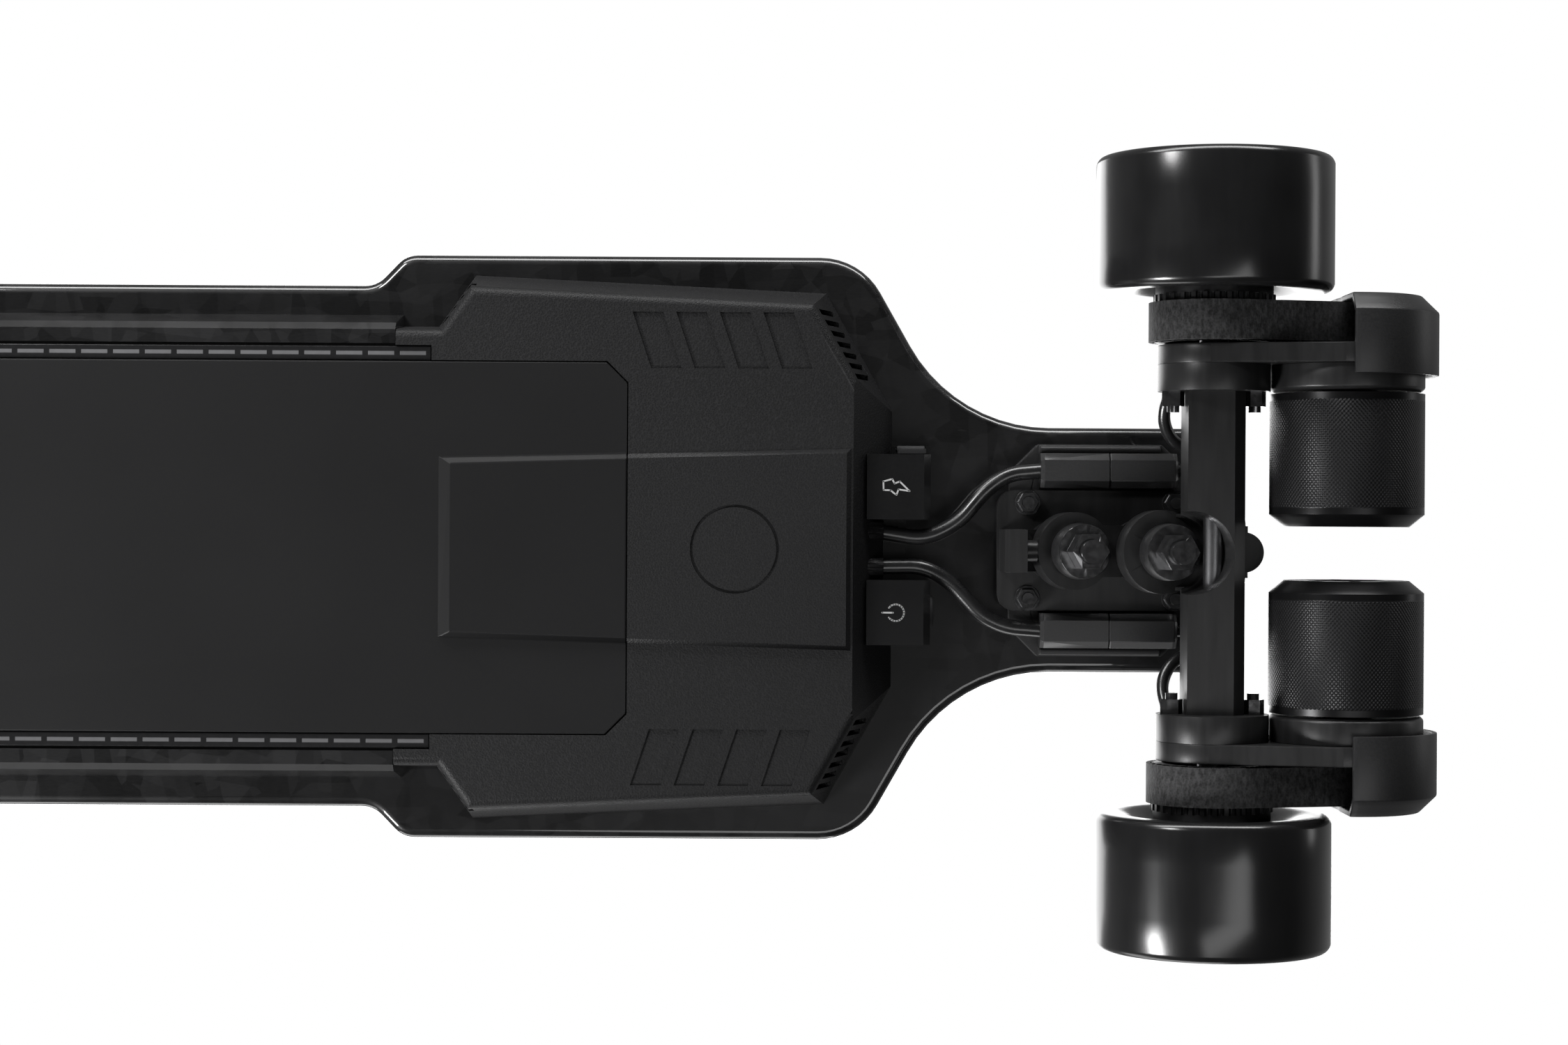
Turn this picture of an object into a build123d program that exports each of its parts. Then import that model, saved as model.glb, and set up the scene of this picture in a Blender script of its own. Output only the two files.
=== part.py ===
from build123d import *
import math
import os

# Electric skateboard, in millimetres.  +Z is up, +X is the nose, +Y is the left side, Z = 0 is the ground.
# Trucks are drawn once, at the nose end, with X measured outboard from the middle of the board.

# Board; a setback is measured back from an end, a step from the feature named before it
deck_length = 1000.0
deck_wide_half = 127.5
deck_waist_half = 114.0
deck_neck_half = 53.5
deck_thickness = 11.0
deck_edge_radius = 4.0
deck_waist_end = 118.0
deck_wide_start = 131.0
deck_wide_setback = 170.0
deck_neck_setback = 128.0
waist_radius = 12.0
shoulder_radius = 30.0
neck_radius = 70.0
tail_drop = 12.0
tail_corner_radius = 20.0
tail_radius = 110.0
grip_thickness = 1.2
grip_margin = 5.0

# Running gear
axle_setback = 27.0
wheel_diameter = 97.0
wheel_width = 55.5
wheel_inner_face = 106.5
truck_height = 78.5

# Enclosure below the deck
enclosure_depth = 31.0
cover_overlap = 14.0
lid_setback = 114.0
lid_half = 79.4
lid_corner_cut = 9.0
lid_thickness = 3.0
lid_rim_height = 3.3
lid_rim_width = 2.4
seam_gap = 0.4
rail_outer_half = 96.0
rail_foot_half = 101.0
rail_inner_half = 87.0
cover_wall = 2.6
cover_face_setback = 17.5
cover_taper_setback = 29.0
cover_neck_step = 15.0
cover_wide_step = 31.0
cover_neck_half = 96.0
cover_wide_half = 118.5
cover_taper_half = 111.5
cover_tail_half = 60.0
cover_draft = 3.0
cover_edge_radius = 4.0
hump_height = 2.0
hump_setback = 80.0
hump_start_half = 38.5
hump_end_half = 43.5
slat_depth = 0.8
slat_count = 4
slat_pitch = 18.6
slat_length = 13.0
slat_lean = 8.0
slat_inner = 77.0
slat_outer = 101.0
vent_slot = 2.4
vent_pitch = 4.6
rear_vent_count = 7
front_vent_count = 4
badge_radius = 19.0
badge_line = 1.2
badge_setback = 68.0
lens_width = 6.0
lens_reach = 15.0

# Electrics
cell_radius = 10.6
cell_length = 70.0
cell_pitch = 22.4
cell_gap = 3.0
cell_setback = 26.5
cell_end_gap = 16.0
board_thickness = 4.0
controller_length = 70.0
controller_half = 74.0
controller_height = 16.0
port_block_half = 41.0
port_block_gap_half = 13.0
port_block_depth = 16.0
port_block_height = 24.0
port_offset = 27.0
port_drop = 13.0
socket_radius = 5.5
socket_bore = 2.75
socket_depth = 12.0
socket_bore_depth = 9.0
button_radius = 7.0
button_length = 5.5
button_proud = 1.6
button_travel = 1.2
button_clearance = 0.2
flap_width = 12.0
flap_height = 15.0
flap_thickness = 2.0
flap_pin_radius = 0.8
flap_bead_radius = 1.9
pin_clearance = 0.05
lead_radius = 3.35
lead_collar_radius = 4.3
motor_lead_radius = 2.6
lead_drop = 15.0
connector_length = 59.0
connector_setback = 26.5
connector_inner = 27.0
connector_width = 15.0
connector_height = 13.5
connector_chamfer = 3.0

# Trucks
riser_thickness = 8.0
riser_length = 78.0
riser_half = 46.0
riser_corner = 12.0
riser_bar_width = 3.2
riser_bar_height = 3.0
riser_bar_margin = 0.6
truck_bolt_length_spacing = 63.5
truck_bolt_width_spacing = 41.3
truck_setback = 39.0
truck_bolt_radius = 2.5
truck_bolt_clearance = 0.25
truck_bolt_length = 32.0
truck_nut_height = 5.0
truck_nut_flat = 8.0
truck_flange_radius = 5.6
base_plate_thickness = 6.0
base_plate_half = 26.0
kingpin_lean = 13.0
kingpin_radius = 5.0
inner_ring_setback = 53.5
inner_ring_drop = 33.0
outer_ring_setback = 18.8
outer_ring_drop = 54.0
ring_thickness = 10.0
ring_bore = 8.5
linkage_ring_radius = 16.5
hanger_ring_radius = 17.5
bushing_radius = 12.0
board_bushing = 12.5
road_bushing = 11.0
bushing_clearance = 0.3
cup_washer_radius = 11.5
cup_washer_thickness = 2.0
kingpin_nut_flat = 14.3
kingpin_nut_height = 8.0
kingpin_end = 3.0
kingpin_seat_depth = 6.0
linkage_half = 11.0
pivot_radius = 4.6
pivot_clearance = 0.08
pivot_overhang = 25.0
beam_width = 24.0
beam_chamfer = 5.0
rear_beam_half = 66.0
front_beam_half = 92.0
hanger_web_half = 16.0
kingpin_recess = 15.5
beam_recess = 17.0
flange_radius = 23.0
flange_thickness = 11.0
boss_radius = 9.3
axle_radius = 4.0
axle_sleeve_radius = 6.0
axle_nut_flat = 13.0
axle_nut_height = 6.5

# Wheels
bearing_radius = 11.0
bearing_width = 7.0
bearing_bore_clearance = 0.02
core_radius = 27.0
core_width = 30.0
core_lip = 3.0
core_hole_radius = 4.2
core_hole_circle = 18.5
core_hole_count = 6
tyre_shoulder = 3.2
tyre_dish = 4.5

# Belt drive
belt_pitch = 5.0
wheel_teeth = 32
motor_teeth = 15
centre_distance = 54.6
tip_below_pitch = 0.57
belt_band = 1.7
belt_width = 16.0
belt_clearance = 0.2
groove_radius = 1.55
belt_start = 86.3
pulley_face = 86.0
pulley_web = 4.5
motor_radius = 31.35
motor_inner_face = 11.0
bell_length = 7.0
can_end = 66.0
can_wall = 4.5
air_gap = 0.8
stator_radius = 24.0
motor_shaft_radius = 4.0
motor_shaft_clearance = 0.05
mount_plate_thickness = 8.0
mount_motor_radius = 34.0
mount_bolt_offset = 16.7
mount_bolt_radius = 2.5
mount_nut_height = 6.0
mount_nut_flat = 8.0
guard_wall = 2.4
guard_clearance = 0.4
guard_start = 72.5
guard_cut_setback = 3.6

# Worked out from the sizes above
half_length = deck_length / 2
deck_wide_end = half_length - deck_wide_setback
deck_neck_start = half_length - deck_neck_setback
axle_x = half_length - axle_setback
axle_z = wheel_diameter / 2
motor_x = axle_x + centre_distance
guard_cut = motor_x - guard_cut_setback
ride_height = axle_z + truck_height
deck_top = ride_height + deck_thickness
truck_centre = axle_x - truck_setback
inner_ring = (axle_x - inner_ring_setback, ride_height - inner_ring_drop)
outer_ring = (axle_x - outer_ring_setback, ride_height - outer_ring_drop)
pivot_end_x = axle_x + pivot_overhang
cover_front = deck_wide_start
cover_rear = deck_wide_end + cover_overlap
cover_face_rear = cover_rear - cover_face_setback
cover_taper_end = cover_rear - cover_taper_setback
cover_neck_end = cover_front + cover_neck_step
cover_wide_start = cover_front + cover_wide_step
lid_length = 2 * (cover_rear - lid_setback)
lens_half_length = cover_front + lens_reach
hump_start = lid_length / 2 - hump_setback
slat_start = lid_length / 2 + 2
badge_x = cover_rear - badge_setback
cell_front_end = cover_face_rear - cell_setback
cell_rows = int((cell_front_end + cover_face_rear - controller_length - cell_end_gap) / cell_pitch)
port_height = ride_height - port_drop
lead_height = ride_height - lead_drop
connector_start = truck_centre - connector_setback
face_z = ride_height - enclosure_depth
guard_radius = mount_motor_radius + guard_clearance + guard_wall
board_shift = (motor_x + guard_radius - axle_x - wheel_diameter / 2) / 2
mount_face = rear_beam_half + flange_thickness
wheel_pulley_pitch = wheel_teeth * belt_pitch / (2 * math.pi)
motor_pulley_pitch = motor_teeth * belt_pitch / (2 * math.pi)
wheel_pulley_tip = wheel_pulley_pitch - tip_below_pitch
motor_pulley_tip = motor_pulley_pitch - tip_below_pitch
bearing_start = wheel_inner_face + (wheel_width - core_width) / 2
bearing_end = bearing_start + core_width
lean = math.radians(kingpin_lean)
hinge_line = Vector(math.cos(lean), 0, math.sin(lean))
kingpin_line = Vector(math.sin(lean), 0, -math.cos(lean))
ON_BASE = (Align.CENTER, Align.CENTER, Align.MIN)


def rounded_face(corners):
    """A flat face with corners (x, y, radius); a radius of 0 leaves the corner sharp."""
    joins = []
    for i, (x, y, radius) in enumerate(corners):
        here = Vector(x, y)
        before = (Vector(*corners[i - 1][:2]) - here).normalized()
        after = (Vector(*corners[(i + 1) % len(corners)][:2]) - here).normalized()
        half = math.radians(before.get_angle(after)) / 2
        reach = radius / math.tan(half)
        middle = here + (before + after).normalized() * (radius / math.sin(half) - radius)
        joins.append((here + before * reach, middle, here + after * reach))
    edges = []
    for i, (start, middle, end) in enumerate(joins):
        edges.append(Edge.make_line(joins[i - 1][2], start))
        if corners[i][2] > 0:
            edges.append(Edge.make_three_point_arc(start, middle, end))
    return make_face(edges)


def sharp_face(points):
    return rounded_face([(x, y, 0) for x, y in points])


def slab(face, low, high):
    """The face raised into a plate between two heights."""
    return Pos(0, 0, low) * extrude(face, amount=high - low)


def both_sides(half):
    """A closed outline from its +Y half, listed from the nose to the tail."""
    return half + [(x, -y, *rest) for x, y, *rest in reversed(half) if y != 0]


def turned(corners):
    """A solid turned about Z from its (radius, height, corner radius) section."""
    return revolve(Plane.XZ * rounded_face(corners), Axis.Z)


def bar(plane, radius, start, end):
    """A round bar along the plane's normal."""
    return plane * Pos(0, 0, start) * Cylinder(radius, end - start, align=ON_BASE)


def hexagon(plane, flat, start, end):
    """A hexagonal bar along the plane's normal."""
    return plane * Pos(0, 0, start) * extrude(RegularPolygon(flat / math.sqrt(3), 6), amount=end - start)


def side_profile(points, half_width):
    """A plate in the X-Z plane, equally thick each side of the middle."""
    return extrude(Plane.XZ * sharp_face(points), amount=half_width, both=True)


def block(x, y, z):
    """A box from its (low, high) limits."""
    return Pos(x[0], y[0], z[0]) * Box(x[1] - x[0], y[1] - y[0], z[1] - z[0], align=(Align.MIN,) * 3)


def left_right(shape):
    return [shape, mirror(shape, about=Plane.XZ)]


def to_tail(shape):
    """Turn a piece drawn at the nose end round to the tail end."""
    return Rot(0, 0, 180) * shape


def nose_tail(shape):
    return [shape, to_tail(shape)]


def save(name, *shapes):
    solids = [solid for shape in shapes for solid in shape.solids()]
    group = solids[0] if len(solids) == 1 else Compound(solids)
    export_step(Pos(board_shift, 0, 0) * group, f"parts/{name}.step")


# ---------------------------------------------------------------- deck

def deck_outline(margin):
    """The deck seen from above, drawn in by a margin."""
    lean_in = math.atan2(tail_drop, deck_neck_half)
    apex = half_length - margin + tail_radius * (1 / math.cos(lean_in) - 1)
    quarter = [
        (apex - tail_drop, deck_neck_half - margin, tail_corner_radius),
        (deck_neck_start - margin, deck_neck_half - margin, neck_radius),
        (deck_wide_end - margin, deck_wide_half - margin, shoulder_radius),
        (deck_wide_start + margin / 2, deck_wide_half - margin, waist_radius),
        (deck_waist_end + margin / 2, deck_waist_half - margin, waist_radius),
    ]
    half = [(apex, 0, tail_radius)] + quarter
    half += [(-x, y, radius) for x, y, radius in reversed(quarter)] + [(-apex, 0, tail_radius)]
    return rounded_face(both_sides(half))


def truck_bolt_places():
    for end in (-1, 1):
        for dx in (-truck_bolt_length_spacing / 2, truck_bolt_length_spacing / 2):
            for y in (-truck_bolt_width_spacing / 2, truck_bolt_width_spacing / 2):
                yield end * (truck_centre + dx), y


def bolt_holes(low, high):
    hole = Cylinder(truck_bolt_radius + truck_bolt_clearance, high - low, align=ON_BASE)
    return [Pos(x, y, low) * hole for x, y in truck_bolt_places()]


def bolt_head_cone(clearance):
    return Pos(0, 0, deck_top - 3) * Cone(truck_bolt_radius, truck_bolt_radius * 2 + clearance, 3, align=ON_BASE)


def make_deck():
    plate = slab(deck_outline(0), ride_height, deck_top)
    plate = fillet(plate.faces().sort_by(Axis.Z)[0].edges(), deck_edge_radius)
    plate = fillet(plate.faces().sort_by(Axis.Z)[-1].edges(), deck_edge_radius)
    ledge_z = face_z + lid_thickness + lid_rim_height + seam_gap
    section = [
        (lid_half - lid_rim_width, ride_height), (rail_foot_half, ride_height), (rail_outer_half, face_z + 5),
        (rail_outer_half - 3, face_z + 2), (rail_inner_half, face_z + 2), (rail_inner_half, ledge_z),
        (lid_half - lid_rim_width, ledge_z),
    ]
    rail = extrude(Plane.YZ * sharp_face(section), amount=cover_front - seam_gap, both=True)
    deck = plate + left_right(rail)
    deck -= bolt_holes(ride_height - 1, deck_top + 1)
    deck -= [Pos(x, y, 0) * bolt_head_cone(truck_bolt_clearance) for x, y in truck_bolt_places()]
    save("deck_shell", deck)
    save("grip_sheet", slab(deck_outline(grip_margin), deck_top, deck_top + grip_thickness))


# ---------------------------------------------------------------- enclosure

def lid_face(grow):
    end = lid_length / 2 + grow
    side = lid_half + grow
    return sharp_face(both_sides([
        (end, side - lid_corner_cut), (end - lid_corner_cut, side),
        (lid_corner_cut - end, side), (-end, side - lid_corner_cut),
    ]))


def cover_outline(shrink, face_level):
    """Half outline of a cover: its foot against the deck, or its smaller face."""
    foot_slope = (cover_wide_half - cover_taper_half) / (cover_taper_end - cover_wide_start)
    if face_level:
        neck = cover_neck_half - cover_draft
        neck_end = cover_neck_end + 4
        step = 0.8 * (cover_wide_start - cover_neck_end)
        rise = 0.8 * (cover_wide_half - cover_neck_half)
        wide_start = neck_end + step
        wide_half = neck + rise
        taper_end = cover_taper_end - 6
        rear = cover_face_rear
    else:
        neck = cover_neck_half
        neck_end = cover_neck_end
        wide_start = cover_wide_start
        wide_half = cover_wide_half
        taper_end = cover_taper_end
        rear = cover_rear
    taper_half = wide_half - foot_slope * (taper_end - wide_start)
    tail_run = cover_rear - cover_taper_end
    tail_half = taper_half - (rear - taper_end) * (cover_taper_half - cover_tail_half) / tail_run
    return [
        (rear - shrink, tail_half - shrink / 3), (taper_end - shrink * 0.8, taper_half - shrink),
        (wide_start + shrink * 0.7, wide_half - shrink), (neck_end + shrink * 0.7, neck - shrink),
        (cover_front - shrink, neck - shrink),
    ]


def cover_block(shrink):
    foot = Pos(0, 0, ride_height) * sharp_face(both_sides(cover_outline(shrink, False)))
    face = Pos(0, 0, face_z + shrink) * sharp_face(both_sides(cover_outline(shrink, True)))
    return loft([face, foot], ruled=True)


def soft_cover_block():
    """The cover's outside, with its long side edges and corners rounded."""
    solid = cover_block(0)
    rim = solid.faces().sort_by(Axis.Z)[0].edges()
    sides = [edge for edge in rim if abs((edge @ 0).X - (edge @ 1).X) > 1]
    return fillet(sides, cover_edge_radius)


def hump(start, end):
    """The low raised spine that crosses the lid's end and the rear cover."""
    edge = 1.2 * hump_height
    full = cover_face_rear - hump_start
    base = [(hump_start, hump_start_half), (hump_start + full - 0.5, hump_end_half)]
    top = [(hump_start + edge * 2, hump_start_half - edge), (hump_start + full - 0.5 - edge, hump_end_half - edge)]
    low = Pos(0, 0, face_z + 0.5) * sharp_face(both_sides(base))
    high = Pos(0, 0, face_z - hump_height) * sharp_face(both_sides(top))
    return loft([high, low], ruled=True) & block((start, end), (-100, 100), (face_z - 10, face_z + 10))


def slats():
    for i in range(slat_count):
        start = slat_start + i * slat_pitch
        face = sharp_face([
            (start, slat_outer), (start + slat_length, slat_outer),
            (start + slat_length + slat_lean, slat_inner), (start + slat_lean, slat_inner),
        ])
        yield from left_right(slab(face, face_z - 1, face_z + slat_depth))


def vents():
    for i in range(rear_vent_count):
        y = slat_inner - 4 + i * vent_pitch
        x = cover_rear - 11 - 0.55 * i * vent_pitch
        yield from left_right(block((x - 12, x), (y, y + vent_slot), (face_z + 5, ride_height - 7)))
    for i in range(front_vent_count):
        y = cover_neck_half + 1 + i * vent_pitch
        x = cover_neck_end - 1 + 0.7 * i * vent_pitch
        yield from left_right(block((x, x + 10), (y, y + vent_slot), (face_z + 5, ride_height - 7)))


def cover_shell():
    """A cover with the end towards the middle open and a ledge round the lid's opening."""
    shell = soft_cover_block() - cover_block(cover_wall)
    ledge_z = face_z + lid_thickness + lid_rim_height + seam_gap
    reach = block((cover_front, lid_length / 2 + 5), (-100, 100), (face_z, ledge_z + 3))
    shell += slab(lid_face(3.5), face_z + 0.2, ledge_z + 2.5) & reach
    shell -= slab(lid_face(seam_gap), face_z - 5, ledge_z)
    lens_side = (lid_half, lid_half + lens_width + 2 * seam_gap)
    shell -= left_right(block((0, lens_half_length + seam_gap), lens_side, (face_z - 5, ledge_z)))
    shell -= slab(lid_face(-lid_rim_width), face_z - 5, ledge_z + 5)
    return shell


def lead_places():
    """Where the two motor leads leave the rear cover."""
    return ((8.2, 1), (-7.4, -1))


def make_enclosure():
    lid = slab(lid_face(0), face_z, face_z + lid_thickness + lid_rim_height)
    lid -= slab(lid_face(-lid_rim_width), face_z + lid_thickness, face_z + lid_thickness + lid_rim_height + 1)
    lid += hump(hump_start, lid_length / 2)
    save("battery_lid", to_tail(lid))

    rear = cover_shell() + hump(lid_length / 2 + seam_gap, cover_face_rear)
    rear -= list(slats()) + list(vents())
    ring = Circle(badge_radius) - Circle(badge_radius - badge_line)
    rear -= Pos(badge_x, 0, 0) * slab(ring, face_z - hump_height - 1, face_z - hump_height + slat_depth)
    for y, _ in lead_places():
        collar = Pos(cover_rear - 14, -y, lead_height) * Rot(0, 90, 0)
        rear += collar * Cylinder(lead_collar_radius, 10, align=ON_BASE)
        rear -= collar * Cylinder(lead_radius, 12, align=ON_BASE)
    save("controller_cover", to_tail(rear))
    save("front_cover", cover_shell())

    lens = block(
        (-lens_half_length, lens_half_length),
        (lid_half + seam_gap, lid_half + seam_gap + lens_width),
        (face_z + 1.5, face_z + lid_thickness + lid_rim_height),
    )
    save("light_lenses", *left_right(lens))


def make_electrics():
    cell = Rot(90, 0, 0) * Cylinder(cell_radius, cell_length)
    cell_z = ride_height - cell_radius - 0.6
    cells = []
    for row in range(cell_rows):
        x = cell_front_end - cell_radius - row * cell_pitch
        cells += left_right(Pos(x, (cell_length + cell_gap) / 2, cell_z) * cell)
    save("battery_cells", *cells)

    board_x = cell_front_end + 2
    board_z = ride_height - 3 - board_thickness
    save("battery_board", block((board_x, board_x + 22), (-60, 60), (board_z, board_z + board_thickness)))

    end_of_cells = cell_rows * cell_pitch - cell_front_end
    start = end_of_cells + 3
    base = block((start, start + controller_length), (-controller_half, controller_half),
                 (ride_height - 1 - controller_height, ride_height - 1))
    for i in range(7):
        x = start + 6 + i * 9
        base -= block((x, x + 4), (-controller_half, controller_half),
                      (ride_height - 2 - controller_height, ride_height - 8 - controller_height / 3))
    save("motor_controller", to_tail(base))


def make_ports():
    """The glossy end block with the charging socket, its rubber flap and the power button."""
    low = ride_height - port_block_height
    rear = cover_rear + port_block_depth
    inner = cover_face_rear + 6
    ear = block((inner, rear), (port_block_gap_half, port_block_half), (low, ride_height))
    ear = chamfer(ear.edges().filter_by(Axis.Y).sort_by(Axis.Z)[:2].sort_by(Axis.X)[-1:], 3)
    bridge = block((inner, rear - 10), (-port_block_gap_half, port_block_gap_half), (ride_height - 7, ride_height))
    body = Part() + left_right(ear) + bridge - cover_block(0)

    port_x = (cover_rear + rear) / 2
    axis_plane = Plane(origin=(port_x, -port_block_half, port_height), z_dir=(0, -1, 0))
    body -= bar(axis_plane, socket_radius, -socket_depth, 1)
    button_plane = Plane(origin=(rear, port_offset, port_height), z_dir=(1, 0, 0))
    well = button_length - button_proud + button_travel + 0.8
    body -= bar(button_plane, button_radius + button_clearance, -well, 1)

    hinge_y = -port_block_half - flap_bead_radius - 0.3
    hinge_z = port_height + flap_height / 2 + flap_bead_radius - 0.5
    pin_plane = Plane(origin=(port_x, hinge_y, hinge_z), z_dir=(1, 0, 0))
    ear_half = flap_width / 2 + 0.4
    lug_y = (hinge_y - 1.6, -port_block_half + 1)
    lug_z = (hinge_z - 1.6, hinge_z + 1.6)
    for lug_x in ((port_x - ear_half - 2, port_x - ear_half), (port_x + ear_half, port_x + ear_half + 2)):
        body += block(lug_x, lug_y, lug_z)
    body += bar(pin_plane, flap_pin_radius, -ear_half - 0.5, ear_half + 0.5)
    save("port_block", to_tail(body))

    socket = bar(axis_plane, socket_radius, -socket_depth, -0.5)
    socket -= bar(axis_plane, socket_bore, -0.5 - socket_bore_depth, 1)
    save("charge_socket", to_tail(socket))

    button = bar(button_plane, button_radius, button_proud - button_length, button_proud)
    button = chamfer(button.edges().sort_by(Axis.X)[-1], 0.6)
    save("power_button", to_tail(button))

    flap = block(
        (port_x - flap_width / 2, port_x + flap_width / 2),
        (-port_block_half - 0.3 - flap_thickness, -port_block_half - 0.3),
        (port_height - flap_height / 2, hinge_z),
    )
    flap += bar(pin_plane, flap_bead_radius, -flap_width / 2, flap_width / 2)
    flap -= bar(pin_plane, flap_pin_radius + pin_clearance, -flap_width, flap_width)
    save("charge_flap", to_tail(flap))


# ---------------------------------------------------------------- leads

MOTOR_ROUTE = [
    (-467.0, 34.5, 112), (-478, 34.5, 112), (-487, 35.5, 106), (-490.3, 37, 95.5), (-486.5, 38.5, 85.5),
    (-477.5, 40, 79), (-467, 42, 76), (-458.5, 47, 73), (-454.5, 56, 69), (-456.5, 65.5, 64.5), (-459.5, 73, 60),
]


def cord(route, radius):
    """A round lead along straight runs joined by arcs as large as the runs allow."""
    points = [Vector(*point) for point in route]
    radii = []
    for before, here, after in zip(points, points[1:], points[2:]):
        turn = math.radians((here - before).get_angle(after - here))
        shorter = min((here - before).length, (after - here).length)
        radii.append(0.45 * shorter / math.tan(turn / 2))
    path = FilletPolyline(*points, radius=radii)
    section = Plane(origin=path @ 0, z_dir=path % 0) * Circle(radius)
    solid = sweep(section, path=path)
    print("lead length", round(path.length, 1), "radii", [round(r, 1) for r in radii],
          "volume ratio", round(solid.volume / (math.pi * radius ** 2 * path.length), 4))
    return solid


def make_leads():
    left_route = [
        (-335, 8.2, 112), (-358, 4.6, 112), (-372, 11.5, 112), (-384, 26.0, 112), (-394, 33.0, 112),
        (-409, 34.4, 112),
    ]
    right_route = [
        (-335, -7.4, 112), (-357, -7.0, 112), (-369, -13.5, 112), (-382, -28.0, 112), (-393, -33.2, 112),
        (-409, -34.4, 112),
    ]
    save("left_controller_lead", cord(left_route, lead_radius))
    save("right_controller_lead", cord(right_route, lead_radius))
    save("left_motor_lead", cord(MOTOR_ROUTE, motor_lead_radius))
    save("right_motor_lead", cord([(x, -y, z) for x, y, z in MOTOR_ROUTE], motor_lead_radius))

    middle = connector_start + connector_length / 2
    high = ride_height - riser_thickness
    limits = (connector_inner, connector_inner + connector_width)
    halves = ((connector_start, middle - 0.2), (middle + 0.2, connector_start + connector_length))
    for name, span in zip(("lead_sockets", "lead_plugs"), halves):
        shell = block(span, limits, (high - connector_height, high))
        shell = chamfer(shell.edges().filter_by(Axis.X).sort_by(Axis.Z)[:2], connector_chamfer)
        end_x = span[0] if name == "lead_sockets" else span[1]
        outer_edges = shell.faces().sort_by(Axis.X)[0 if name == "lead_sockets" else -1].edges()
        shell = chamfer(outer_edges.sort_by(Axis.Z)[:3], 1.5)
        if name == "lead_sockets":
            bore = Pos(end_x - 1, 34.4, lead_height) * Rot(0, 90, 0) * Cylinder(lead_radius, 4, align=ON_BASE)
            shell -= bore
        save(name, *[to_tail(piece) for piece in left_right(shell)])


# ---------------------------------------------------------------- trucks

def kingpin_plane(centre):
    """Seat of a rubber pair: Z runs down the kingpin to the road, X is the line that the ring tilts about."""
    return Plane(origin=(centre[0], 0, centre[1]), x_dir=hinge_line, z_dir=kingpin_line)


def pivot_plane(centre):
    """Z runs outboard along the line that the ring tilts about."""
    return Plane(origin=(centre[0], 0, centre[1]), z_dir=hinge_line)


ring_half = ring_thickness / 2
seat_station = -ring_half - board_bushing
washer_station = ring_half + road_bushing
nut_station = washer_station + cup_washer_thickness
pin_end_station = nut_station + kingpin_nut_height + kingpin_end


def kingpin(centre):
    return bar(kingpin_plane(centre), kingpin_radius, seat_station - kingpin_seat_depth, pin_end_station)


def kingpin_nut_set(centre):
    """The cup washer and the nut at the road end of a kingpin."""
    plane = kingpin_plane(centre)
    washer = bar(plane, cup_washer_radius, washer_station, nut_station)
    washer = chamfer(washer.edges().sort_by(Axis.Z)[:2].sort_by(SortBy.LENGTH)[-1:], 1.2)
    washer -= bar(plane, kingpin_radius, washer_station - 1, nut_station + 1)
    nut = hexagon(plane, kingpin_nut_flat, nut_station, nut_station + kingpin_nut_height)
    nut -= bar(plane, kingpin_radius, nut_station - 1, pin_end_station)
    return [washer, nut]


def bushing_pair(centre):
    plane = kingpin_plane(centre)
    pair = []
    for start, end in ((seat_station, -ring_half), (ring_half, washer_station)):
        waist = (end - start) * 0.12
        sleeve = turned([
            (kingpin_radius + bushing_clearance, start, 0), (bushing_radius - waist, start, 0),
            (bushing_radius, (start + end) / 2, 3), (bushing_radius - waist, end, 0),
            (kingpin_radius + bushing_clearance, end, 0),
        ])
        pair.append(plane * sleeve)
    return pair


def make_base_plate():
    low = ride_height - riser_thickness - base_plate_thickness
    high = ride_height - riser_thickness
    start = truck_centre - truck_bolt_length_spacing / 2 - 13
    end = truck_centre + truck_bolt_length_spacing / 2 + 8
    corner = 7.0
    outline = rounded_face(both_sides([(end, base_plate_half, corner), (start, base_plate_half, corner)]))
    plate = slab(outline, low, high)
    plane = kingpin_plane(inner_ring)
    seat = bar(plane, bushing_radius + 1.5, seat_station - 9, seat_station)
    plate += seat & block((0, 1000), (-50, 50), (0, high))
    pivot_line = pivot_plane(inner_ring)
    nose_x = inner_ring[0] - linkage_ring_radius
    tower_low = inner_ring[1] - math.tan(lean) * (inner_ring[0] - start) - 9
    tower = side_profile([
        (start + 1, high), (nose_x + 4, high), (nose_x + 4, low - 5), (nose_x - 3.5, low - 12),
        (nose_x - 3.5, tower_low), (start + 3, tower_low), (start + 1, tower_low + 3),
    ], 9)
    plate += tower
    reach = (inner_ring[0] - start) / math.cos(lean)
    plate -= bar(pivot_line, pivot_radius + pivot_clearance, -reach + 4, -linkage_ring_radius + 3)
    plate -= bar(plane, linkage_ring_radius + 2.5, -ring_half - 5, ring_half + 8)
    plate -= bar(plane, bushing_radius + 1.5, seat_station, -ring_half)
    plate -= bolt_holes(low - 1, high + 1)
    plate -= bar(plane, kingpin_radius, seat_station - kingpin_seat_depth, seat_station + 1)
    return plate


def make_riser():
    start = truck_centre - riser_length / 2
    end = start + riser_length
    high = ride_height
    low = high - riser_thickness
    outline = sharp_face(both_sides([
        (end, riser_half - riser_corner), (end - riser_corner, riser_half),
        (start + riser_corner, riser_half), (start, riser_half - riser_corner),
    ]))
    riser = slab(outline, low, high)
    outer = riser_half - riser_bar_margin
    rail = block((start + riser_corner + 1, end - riser_corner - 1), (outer - riser_bar_width, outer),
                 (low - riser_bar_height, low + 1))
    riser += left_right(chamfer(rail.edges().filter_by(Axis.X).sort_by(Axis.Z)[:2], 1.0))
    return riser - bolt_holes(low - 1, high + 1)


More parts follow.
